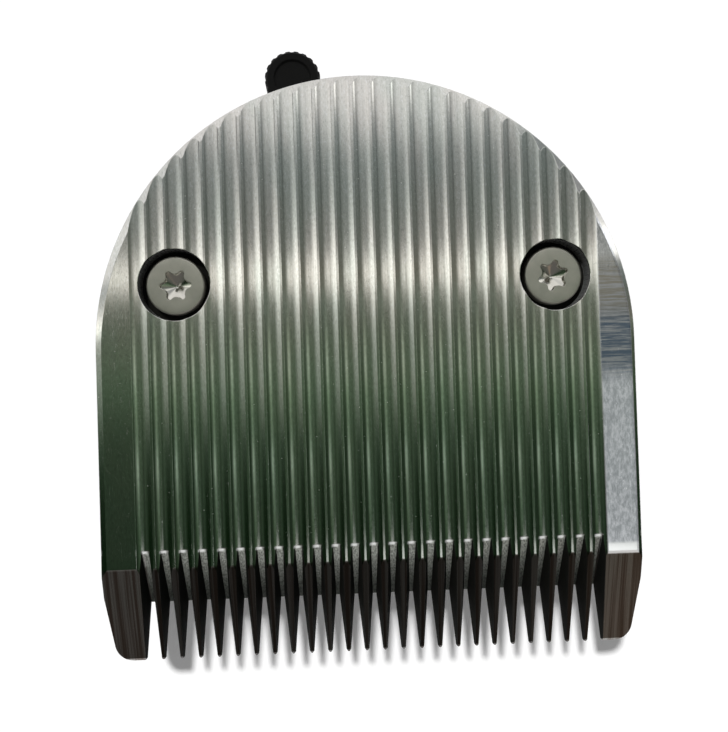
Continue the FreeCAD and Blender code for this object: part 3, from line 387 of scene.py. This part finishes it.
def socket_reach(angle, turn):
    """How far the six-lobe socket reaches from the axis, in mm: round lobes, with bulges between them."""
    lobe_place, lobe_radius = 1.08, 0.25
    bulge_place, bulge_radius = 1.437, 0.487
    change = math.radians(12.1)
    off = (angle - turn) % (math.pi / 3)
    off = min(off, math.pi / 3 - off)
    from_bulge = math.pi / 6 - off
    if off < change:
        rise = math.sqrt(lobe_radius ** 2 - (lobe_place * math.sin(off)) ** 2)
        return lobe_place * math.cos(off) + rise
    dip = math.sqrt(bulge_radius ** 2 - (bulge_place * math.sin(from_bulge)) ** 2)
    return bulge_place * math.cos(from_bulge) - dip


LEFT_SCREW_TURN = 61.5       # degrees
RIGHT_SCREW_TURN = 78.5
AROUND = 96            # points in each ring of a screw
HEAD_HEIGHT = 1.3      # the rest of the screw's sizes are in mm too
SHANK_RADIUS = 1.25
THREAD_DEPTH = 0.16
THREAD_PITCH = 0.45


def threaded(angle, z):
    """The thread's radius at a height, going round with the angle."""
    phase = (z / THREAD_PITCH - angle / (2 * math.pi)) % 1.0
    return SHANK_RADIUS - THREAD_DEPTH * min(1.0, 1.3 * abs(2 * phase - 1))


def screw_rings(bottom, top, head_radius, turn):
    """Functions from angle to (radius, height), one for each ring from the tip to the socket's cone."""
    under_head = top - HEAD_HEIGHT
    rings = [lambda angle: (0.75, bottom), lambda angle: (0.95, bottom + 0.12)]
    threads = int((under_head - 0.35 - bottom - 0.3) / THREAD_PITCH * 8)
    for step in range(threads + 1):
        z = bottom + 0.3 + step * THREAD_PITCH / 8
        rings.append(lambda angle, z=z: (threaded(angle, z), z))
    head = (
        (1.12, under_head - 0.25), (1.22, under_head), (head_radius - 0.10, under_head),
        (head_radius, under_head + 0.06), (head_radius, top - 0.16), (head_radius - 0.035, top - 0.07),
        (head_radius - 0.12, top - 0.012), (head_radius - 0.20, top), (1.75, top))
    rings += [lambda angle, r=r, z=z: (r, z) for r, z in head]
    socket = ((1.07, top), (1.04, top), (1.015, top - 0.012), (1.00, top - 0.045))
    rings += [lambda angle, k=k, z=z: (k * socket_reach(angle, turn), z) for k, z in socket]
    rings += [lambda angle, k=k: drilled(k * socket_reach(angle, turn), top) for k in (0.97, 0.80, 0.55)]
    rings += [lambda angle, r=r: drilled(r, top) for r in (0.40, 0.15)]
    return rings


def drilled(radius, top):
    """On the drill's cone at the bottom of the socket."""
    return radius, top - 0.45 - 0.51 * (1.33 - radius)


def swept(rings, centre, first_z, last_z):
    """Points and faces of the rings joined one to the next, closed by a point at each end."""
    points, faces = [], []
    for ring in rings:
        for index in range(AROUND):
            angle = 2 * math.pi * index / AROUND
            radius, z = ring(angle)
            points.append(((centre.x + radius * math.cos(angle)) * MM,
                           (centre.y + radius * math.sin(angle)) * MM, z * MM))
    for ring in range(len(rings) - 1):
        low, high = ring * AROUND, (ring + 1) * AROUND
        for index in range(AROUND):
            after = (index + 1) % AROUND
            faces.append((low + index, low + after, high + after, high + index))
    for start, tip_z, flip in ((0, first_z, True), ((len(rings) - 1) * AROUND, last_z, False)):
        tip = len(points)
        points.append((centre.x * MM, centre.y * MM, tip_z * MM))
        for index in range(AROUND):
            pair = (start + index, start + (index + 1) % AROUND)
            faces.append((tip, *(pair[::-1] if flip else pair)))
    return points, faces


def comb_screw(node, turn_degrees):
    """A pan-head screw: rolled thread, rounded head, leaning six-lobe socket and a drilled bottom."""
    low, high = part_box(node)
    bottom, top = low.z / MM, high.z / MM
    head_radius = (high.x - low.x) / 2 / MM
    rings = screw_rings(bottom, top, head_radius, math.radians(turn_degrees))
    points, faces = swept(rings, (low + high) / 2 / MM, bottom, drilled(0.0, top)[1])
    mesh = bpy.data.meshes.new(node + "_turned")
    mesh.from_pydata(points, [], faces)
    mesh.update()
    screw = bpy.data.objects.new(node + "_turned", mesh)
    bpy.context.scene.collection.objects.link(screw)
    for face in mesh.polygons:
        face.use_smooth = True
    mesh.set_sharp_from_angle(angle=math.radians(40))
    mesh.materials.append(MATERIALS["screw_steel"])
    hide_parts(node)
    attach(screw, "base")


def dress_nodes():
    for part in frame["record"]["subparts"]:
        mesh_object = frame["nodes"][part["node"]]
        mesh_object.data.materials.clear()
        mesh_object.data.materials.append(MATERIALS[part["material_slot"]])


# --- floor, light and camera ---

# Light from all round on matt surfaces; with the key lamp it makes a white sheet just white.
AMBIENT = 0.28


def build_floor():
    """A pale sheet that is white to the camera and the metal, and keeps the soft shadow."""
    bpy.ops.mesh.primitive_grid_add(x_subdivisions=2, y_subdivisions=2, size=4.0, location=(0, 0, -0.00002))
    floor = bpy.context.object
    floor.name = "floor"
    material, n = new_material("floor_sheet")
    paths = n.add("LightPath")
    seen = n.math("MAXIMUM", paths.outputs["Is Camera Ray"], paths.outputs["Is Glossy Ray"])
    seen = n.math("MAXIMUM", seen, paths.outputs["Is Transmission Ray"])
    sheet = n.add("BsdfDiffuse", {"Color": n.mix(seen, (0.80, 0.80, 0.80), (1.0, 1.0, 1.0))})
    glow = n.add("Emission", {"Color": (1.0, 1.0, 1.0), "Strength": n.times(seen, 0.02)})
    both = n.add("AddShader", {0: sheet.outputs[0], 1: glow.outputs[0]})
    out = n.add("OutputMaterial")
    n.tree.links.new(both.outputs[0], out.inputs["Surface"])
    floor.data.materials.append(material)


# The room that only reflections see: its colour against how far a direction points along +Y, seen overhead
# and towards each side. These four tables were not chosen freely. They follow a program's reading of the
# reflections in the reference picture, smoothed and tuned.
OVERHEAD = (
    (-1.00, (0.80, 0.80, 0.80)),
    (-0.96, (0.60, 0.60, 0.59)),
    (-0.90, (0.180, 0.170, 0.160)),
    (-0.84, (0.150, 0.140, 0.130)),
    (-0.60, (0.150, 0.145, 0.135)),
    (-0.35, (0.120, 0.130, 0.110)),
    (-0.24, (0.045, 0.065, 0.042)),
    (-0.20, (0.036, 0.062, 0.035)),
    (-0.12, (0.048, 0.080, 0.046)),
    (-0.05, (0.068, 0.108, 0.063)),
    (0.00, (0.100, 0.148, 0.090)),
    (0.04, (0.120, 0.155, 0.104)),
    (0.065, (0.140, 0.165, 0.120)),
    (0.085, (0.170, 0.190, 0.150)),
    (0.096, (0.230, 0.250, 0.205)),
    (0.109, (0.900, 0.880, 0.790)),
    (0.120, (1.600, 1.560, 1.400)),
    (0.132, (0.950, 0.930, 0.850)),
    (0.150, (0.370, 0.370, 0.340)),
    (0.17, (0.300, 0.310, 0.285)),
    (0.22, (0.265, 0.290, 0.275)),
    (0.25, (0.340, 0.360, 0.345)),
    (0.275, (0.690, 0.695, 0.670)),
    (0.305, (0.980, 0.980, 0.950)),
    (0.42, (1.120, 1.110, 1.080)),
    (0.49, (0.860, 0.860, 0.850)),
    (0.66, (0.760, 0.765, 0.760)),
    (0.74, (1.100, 1.090, 1.060)),
    (0.95, (0.900, 0.890, 0.870)),
    (1.00, (0.300, 0.300, 0.300)),
)
LEFT_SIDE = (
    (-1.00, (0.80, 0.80, 0.80)),
    (-0.96, (0.60, 0.60, 0.59)),
    (-0.85, (0.150, 0.140, 0.130)),
    (-0.40, (0.120, 0.125, 0.110)),
    (-0.25, (0.010, 0.018, 0.009)),
    (-0.166, (0.004, 0.013, 0.004)),
    (-0.115, (0.013, 0.026, 0.012)),
    (-0.065, (0.040, 0.066, 0.039)),
    (-0.035, (0.120, 0.160, 0.110)),
    (0.00, (0.290, 0.340, 0.270)),
    (0.05, (0.440, 0.475, 0.405)),
    (0.085, (0.740, 0.765, 0.690)),
    (0.108, (1.600, 1.620, 1.480)),
    (0.135, (1.650, 1.630, 1.500)),
    (0.16, (1.100, 1.100, 1.030)),
    (0.19, (0.740, 0.760, 0.710)),
    (0.22, (0.600, 0.620, 0.590)),
    (0.25, (0.600, 0.620, 0.600)),
    (0.29, (1.050, 1.040, 1.000)),
    (0.42, (1.120, 1.110, 1.080)),
    (0.50, (0.980, 0.970, 0.950)),
    (0.70, (0.980, 0.970, 0.950)),
    (0.95, (1.050, 1.040, 1.010)),
    (1.00, (0.500, 0.500, 0.500)),
)
RIGHT_SIDE = (
    (-1.00, (0.80, 0.80, 0.80)),
    (-0.96, (0.60, 0.60, 0.59)),
    (-0.85, (0.150, 0.140, 0.130)),
    (-0.40, (0.120, 0.125, 0.110)),
    (-0.24, (0.020, 0.034, 0.019)),
    (-0.17, (0.018, 0.032, 0.017)),
    (-0.06, (0.022, 0.040, 0.021)),
    (-0.01, (0.055, 0.088, 0.048)),
    (0.04, (0.090, 0.118, 0.080)),
    (0.065, (0.115, 0.135, 0.100)),
    (0.095, (0.210, 0.245, 0.195)),
    (0.12, (0.210, 0.200, 0.160)),
    (0.15, (0.170, 0.182, 0.157)),
    (0.20, (0.170, 0.190, 0.170)),
    (0.25, (0.225, 0.250, 0.240)),
    (0.28, (0.350, 0.370, 0.360)),
    (0.31, (0.700, 0.700, 0.670)),
    (0.42, (1.120, 1.110, 1.080)),
    (0.50, (0.400, 0.410, 0.410)),
    (0.68, (0.360, 0.370, 0.370)),
    (0.76, (1.090, 1.080, 1.050)),
    (0.95, (1.050, 1.040, 1.010)),
    (1.00, (0.500, 0.500, 0.500)),
)
# A paler streak a little to the right of overhead, added to the rest.
STREAK = (
    (-0.30, (0.000, 0.000, 0.000)),
    (-0.166, (0.050, 0.080, 0.045)),
    (-0.114, (0.135, 0.185, 0.130)),
    (-0.088, (0.400, 0.500, 0.390)),
    (-0.062, (0.125, 0.180, 0.120)),
    (-0.036, (0.120, 0.165, 0.110)),
    (-0.010, (0.160, 0.230, 0.145)),
    (0.015, (0.420, 0.470, 0.380)),
    (0.041, (0.270, 0.310, 0.230)),
    (0.067, (0.085, 0.095, 0.075)),
    (0.09, (0.000, 0.000, 0.000)),
)
STREAK_ANGLE, STREAK_HALF, STREAK_SOFT = 33.0, 11.0, 26.0

# Panels of light: angle from straight up towards +X, half width, softness, the same for the part along +Y,
# and the colour.
PANELS = (
    (10.0, 12.0, 12.0, -0.270, 0.088, 0.010, (0.90, 0.90, 0.87)),
    (60.0, 7.0, 10.0, 0.350, 0.045, 0.040, (1.20, 1.20, 1.15)),
    (33.0, 9.0, 18.0, -0.720, 0.120, 0.160, (0.200, 0.140, 0.096)),
)
# Places where the room is darker: the same measures, and the share of light taken away.
SHADES = (
    (-85.0, 15.0, 12.0, 0.310, 0.070, 0.040, 0.65),
    (-16.0, 8.0, 12.0, -0.140, 0.120, 0.100, 0.40),
    (41.0, 5.0, 14.0, 0.235, 0.060, 0.050, 0.38),
)


def build_room():
    """White behind everything, a plain level on matt surfaces, and the room's tables in the metal."""
    world = bpy.data.worlds.new("room")
    bpy.context.scene.world = world
    world.use_nodes = True
    n = Nodes(world.node_tree)
    towards = n.add("SeparateXYZ", {0: n.add("TexCoord").outputs["Generated"]})
    along = towards.outputs[1]
    across = n.times(n.math("ARCTAN2", towards.outputs[0], towards.outputs[2]), 180.0 / math.pi)

    place = n.plus(n.times(along, 0.5), 0.5)
    overhead, left, right, streak = (n.ramp(place, [((s + 1) / 2, colour) for s, colour in bands])
                                     for bands in (OVERHEAD, LEFT_SIDE, RIGHT_SIDE, STREAK))
    room = n.mix(n.step(across, -15.0, -60.0), overhead, left)
    room = n.mix(n.step(across, 6.0, 46.0), room, right)
    room = n.summed(room, n.scaled(streak, n.window(across, STREAK_ANGLE, STREAK_HALF, STREAK_SOFT)))
    for angle, half, soft, s, s_half, s_soft, share in SHADES:
        mask = n.times(n.window(across, angle, half, soft), n.window(along, s, s_half, s_soft))
        room = n.scaled(room, n.math("SUBTRACT", 1.0, n.times(mask, share)))
    for angle, half, soft, s, s_half, s_soft, colour in PANELS:
        mask = n.times(n.window(across, angle, half, soft), n.window(along, s, s_half, s_soft))
        tint = n.add("CombineXYZ", {0: colour[0], 1: colour[1], 2: colour[2]}).outputs[0]
        room = n.summed(room, n.scaled(tint, mask))

    paths = n.add("LightPath")
    plain = n.mix(paths.outputs["Is Glossy Ray"], (AMBIENT, AMBIENT, AMBIENT), room)
    white = n.math("MAXIMUM", paths.outputs["Is Camera Ray"], paths.outputs["Is Transmission Ray"])
    shown = n.mix(white, plain, (1.0, 1.0, 1.0))
    back = n.add("Background", {"Color": shown, "Strength": 1.0})
    out = n.add("OutputWorld")
    n.tree.links.new(back.outputs[0], out.inputs["Surface"])


def add_lamp(name, towards, spread_degrees, strength):
    """A soft, far lamp shining from a direction. Reflections leave it out: the room already holds them."""
    light = bpy.data.lights.new(name, "SUN")
    light.angle = math.radians(spread_degrees)
    light.energy = strength
    lamp = bpy.data.objects.new(name, light)
    bpy.context.scene.collection.objects.link(lamp)
    lamp.location = towards
    lamp.rotation_euler = (-Vector(towards)).to_track_quat("-Z", "Y").to_euler()
    lamp.visible_glossy = False


KEY_TOWARDS = (-0.096, 0.175, 0.400)
KEY_SPREAD = 4.0        # degrees
KEY_STRENGTH = 2.75

# Where the camera stands, in metres, and the turn from the part's axes to its own.
CAMERA_PLACE = Vector((-3.33, -3.19, 87.25)) * MM
CAMERA_TURN = Euler((math.radians(-0.959), math.radians(2.232), math.radians(1.773)), "XYZ")
SENSOR_WIDTH = 36.0
FOCAL_LENGTH = 43.516


def build_camera():
    data = bpy.data.cameras.new("camera")
    data.sensor_width = SENSOR_WIDTH
    data.lens = FOCAL_LENGTH
    data.clip_start = MM
    camera = bpy.data.objects.new("camera", data)
    bpy.context.scene.collection.objects.link(camera)
    placed = CAMERA_TURN.to_matrix().transposed().to_4x4()
    placed.translation = CAMERA_PLACE
    camera.matrix_world = placed
    bpy.context.scene.camera = camera


dress_nodes()
comb_screw("comb_screw_left", LEFT_SCREW_TURN)
comb_screw("comb_screw_right", RIGHT_SCREW_TURN)
build_floor()
build_room()
add_lamp("key", KEY_TOWARDS, KEY_SPREAD, KEY_STRENGTH)
build_camera()
bpy.context.scene.view_settings.view_transform = "Standard"
